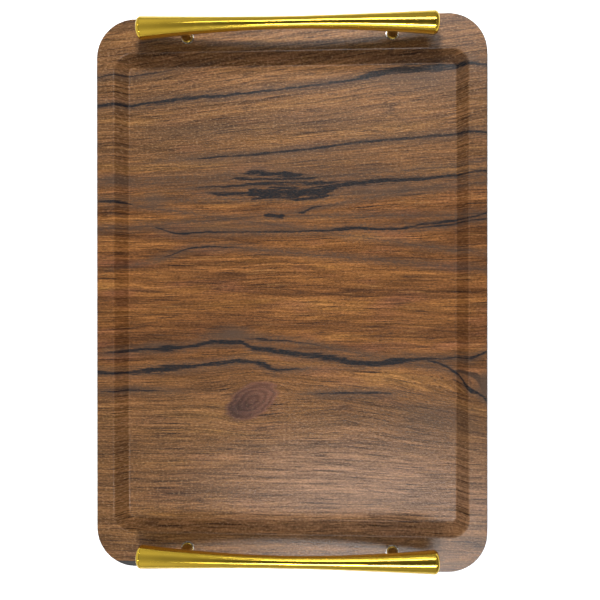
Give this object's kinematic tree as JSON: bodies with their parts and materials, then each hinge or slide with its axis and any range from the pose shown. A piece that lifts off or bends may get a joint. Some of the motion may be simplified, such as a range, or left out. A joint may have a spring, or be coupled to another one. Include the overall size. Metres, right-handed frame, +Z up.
{
  "type": "serving tray",
  "caption": "Rectangular wood-print serving tray: shallow well with sloping walls, flat rounded rim, and arched flared gold bar handles on posts across both short ends.",
  "frame": {"origin": "middle of the tray's footprint, on the plane that the underside stands on", "axes": "+X to the right along the tray's width, +Y along its length towards the back handle, +Z up"},
  "size_m": [0.245, 0.346, 0.0469],
  "materials": {
    "wood_print": "satin printed wood grain with a fine pebbled emboss",
    "black_shell": "moulded satin black",
    "gold_plate": "polished gold plate",
    "zinc_steel": "zinc plated",
    "clear_nylon": "pale translucent nylon"
  },
  "bodies": {
    "root": {"tray_shell": "black_shell", "wood_print_sheet": "wood_print", "handle_bar_back": "gold_plate", "handle_bar_front": "gold_plate", "end_cap_back_left": "gold_plate", "end_cap_back_right": "gold_plate", "end_cap_front_left": "gold_plate", "end_cap_front_right": "gold_plate", "handle_post_back_left": "gold_plate", "handle_post_back_right": "gold_plate", "handle_post_front_left": "gold_plate", "handle_post_front_right": "gold_plate", "post_stud_back_left": "zinc_steel", "post_stud_back_right": "zinc_steel", "post_stud_front_left": "zinc_steel", "post_stud_front_right": "zinc_steel", "bar_insert_back_left": "zinc_steel", "bar_insert_back_right": "zinc_steel", "bar_insert_front_left": "zinc_steel", "bar_insert_front_right": "zinc_steel", "foot_washer_back_left": "clear_nylon", "foot_washer_back_right": "clear_nylon", "foot_washer_front_left": "clear_nylon", "foot_washer_front_right": "clear_nylon", "screw_washer_back_left": "zinc_steel", "screw_washer_back_right": "zinc_steel", "screw_washer_front_left": "zinc_steel", "screw_washer_front_right": "zinc_steel", "mounting_screw_back_left": "zinc_steel", "mounting_screw_back_right": "zinc_steel", "mounting_screw_front_left": "zinc_steel", "mounting_screw_front_right": "zinc_steel"}
  },
  "joints": []
}
